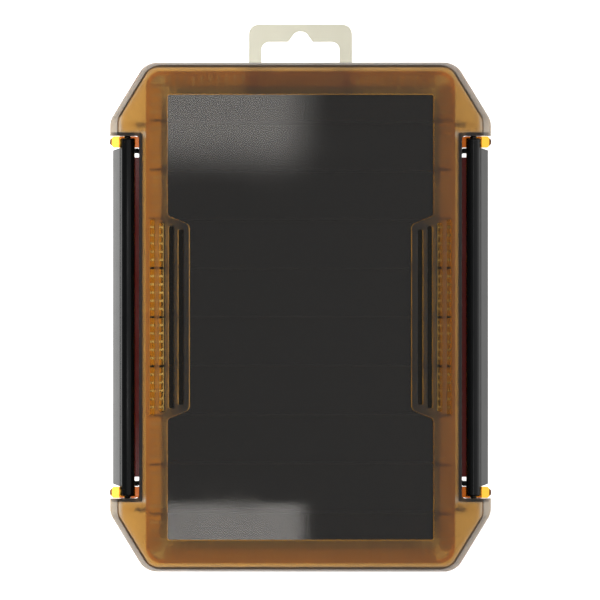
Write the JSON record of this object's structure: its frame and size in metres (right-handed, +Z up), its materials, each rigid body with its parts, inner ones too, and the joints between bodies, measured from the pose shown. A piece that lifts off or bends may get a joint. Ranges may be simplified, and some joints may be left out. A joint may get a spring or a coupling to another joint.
{
  "type": "lure case",
  "caption": "Flat fishing lure case with a smoke lid, full-length bar latches on both sides, lift-out dividers and a hang tab.",
  "frame": {"origin": "on the resting face of the tub, under the middle of the tub", "axes": "+Z up through the lid, +Y along the case towards the hang tab, +X towards the right bar"},
  "size_m": [0.1534, 0.2221, 0.04],
  "materials": {
    "amber_plastic": "satin",
    "smoke_plastic": "satin",
    "black_gloss": "gloss",
    "black_sheet": "satin",
    "natural_plastic": "satin",
    "black_foam": "matte"
  },
  "bodies": {
    "base": {"tub": "amber_plastic", "floor_mat": "black_foam", "divider_1": "black_sheet", "divider_2": "black_sheet", "divider_3": "black_sheet", "divider_4": "black_sheet", "divider_5": "black_sheet", "divider_6": "black_sheet", "divider_7": "black_sheet", "divider_8": "black_sheet", "divider_9": "black_sheet"},
    "lid": {"lid": "smoke_plastic"},
    "left_bar": {"left_bar": "black_gloss"},
    "right_bar": {"right_bar": "black_gloss"},
    "hang_tab": {"hang_tab": "natural_plastic"}
  },
  "joints": [
    {"name": "lid_hinge", "type": "hinge", "parent": "base", "child": "lid", "pos_m": [-0.0697, 0, 0.0338], "axis": [0, -1, 0], "range_deg": [0, 110]},
    {"name": "left_bar_latch", "type": "hinge", "parent": "base", "child": "left_bar", "pos_m": [-0.0697, 0, 0.0338], "axis": [0, 1, 0], "range_deg": [-6, 45]},
    {"name": "right_bar_latch", "type": "hinge", "parent": "lid", "child": "right_bar", "pos_m": [0.0697, 0, 0.0338], "axis": [0, -1, 0], "range_deg": [-6, 45]},
    {"name": "hang_tab_slide", "type": "slide", "parent": "base", "child": "hang_tab", "axis": [0, 1, 0], "range_m": [0, 0.012]}
  ]
}
